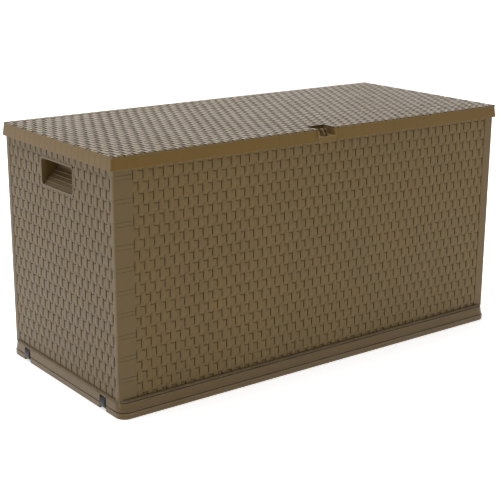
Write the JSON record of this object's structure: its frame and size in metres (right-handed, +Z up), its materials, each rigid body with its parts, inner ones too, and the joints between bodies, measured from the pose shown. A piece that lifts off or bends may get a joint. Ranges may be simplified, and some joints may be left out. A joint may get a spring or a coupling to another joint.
{
  "type": "deck storage box",
  "caption": "Long outdoor storage box with woven-look resin walls, a hinged lid held by gas struts, a padlock recess, grip pockets and small roller wheels.",
  "frame": {"origin": "on the ground under the middle of the box", "axes": "+X along the length, the end with the wheels at -X; -Y towards the front with the padlock recess; +Z up"},
  "size_m": [1.204, 0.548, 0.608],
  "materials": {
    "panel_resin": "satin woven relief moulding in brown taupe",
    "lid_resin": "satin woven relief moulding in brown taupe",
    "base_resin": "satin moulding with faint flow streaks",
    "wheel_black": "black moulded roller",
    "zinc_steel": "zinc plated pressed steel",
    "strut_black": "black painted tube",
    "strut_chrome": "polished rod"
  },
  "bodies": {
    "box": {"base_tray": "base_resin", "front_panel": "panel_resin", "back_panel": "panel_resin", "left_end_panel": "panel_resin", "right_end_panel": "panel_resin", "lock_eye": "zinc_steel", "lock_screws": "zinc_steel", "hinge_body_leaf_left": "zinc_steel", "hinge_body_leaf_centre": "zinc_steel", "hinge_body_leaf_right": "zinc_steel", "hinge_pin_left": "zinc_steel", "hinge_pin_centre": "zinc_steel", "hinge_pin_right": "zinc_steel", "hinge_body_screws": "zinc_steel", "strut_wall_bracket_left": "zinc_steel", "strut_wall_bracket_right": "zinc_steel", "wall_bracket_screws": "zinc_steel", "corner_screws": "zinc_steel", "base_screws": "zinc_steel", "axle_front": "zinc_steel", "axle_rear": "zinc_steel"},
    "lid": {"lid_shell": "lid_resin", "hinge_lid_leaf_left": "zinc_steel", "hinge_lid_leaf_centre": "zinc_steel", "hinge_lid_leaf_right": "zinc_steel", "hinge_lid_screws": "zinc_steel", "strut_lid_bracket_left": "zinc_steel", "strut_lid_bracket_right": "zinc_steel", "lid_bracket_screws": "zinc_steel"},
    "strut_cylinder_left": {"strut_cylinder_left": "strut_black"},
    "strut_rod_left": {"strut_rod_left": "strut_chrome"},
    "strut_cylinder_right": {"strut_cylinder_right": "strut_black"},
    "strut_rod_right": {"strut_rod_right": "strut_chrome"},
    "wheel_front": {"wheel_front": "wheel_black"},
    "wheel_rear": {"wheel_rear": "wheel_black"}
  },
  "joints": [
    {"name": "lid_hinge", "type": "hinge", "parent": "box", "child": "lid", "pos_m": [0, 0.265, 0.568], "axis": [-1, 0, 0], "range_deg": [0, 80]},
    {"name": "strut_tilt_left", "type": "hinge", "parent": "box", "child": "strut_cylinder_left", "pos_m": [-0.5615, 0.225, 0.55], "axis": [-1, 0, 0], "range_deg": [0, 83.34]},
    {"name": "strut_slide_left", "type": "slide", "parent": "strut_cylinder_left", "child": "strut_rod_left", "axis": [0, -0.975, 0.2224], "range_m": [0, 0.05537]},
    {"name": "strut_tilt_right", "type": "hinge", "parent": "box", "child": "strut_cylinder_right", "pos_m": [0.5615, 0.225, 0.55], "axis": [-1, 0, 0], "range_deg": [0, 83.34]},
    {"name": "strut_slide_right", "type": "slide", "parent": "strut_cylinder_right", "child": "strut_rod_right", "axis": [0, -0.975, 0.2224], "range_m": [0, 0.05537]},
    {"name": "wheel_front_spin", "type": "hinge", "parent": "box", "child": "wheel_front", "pos_m": [-0.5855, -0.19, 0.017], "axis": [0, 1, 0], "continuous": true},
    {"name": "wheel_rear_spin", "type": "hinge", "parent": "box", "child": "wheel_rear", "pos_m": [-0.5855, 0.19, 0.017], "axis": [0, 1, 0], "continuous": true}
  ],
  "couplings": [
    {"joint": "strut_tilt_left", "follows": "lid_hinge", "ratio": 1.0412},
    {"joint": "strut_slide_left", "follows": "lid_hinge", "m_per_rad": 0.039623},
    {"joint": "strut_tilt_right", "follows": "lid_hinge", "ratio": 1.0412},
    {"joint": "strut_slide_right", "follows": "lid_hinge", "m_per_rad": 0.039623}
  ]
}
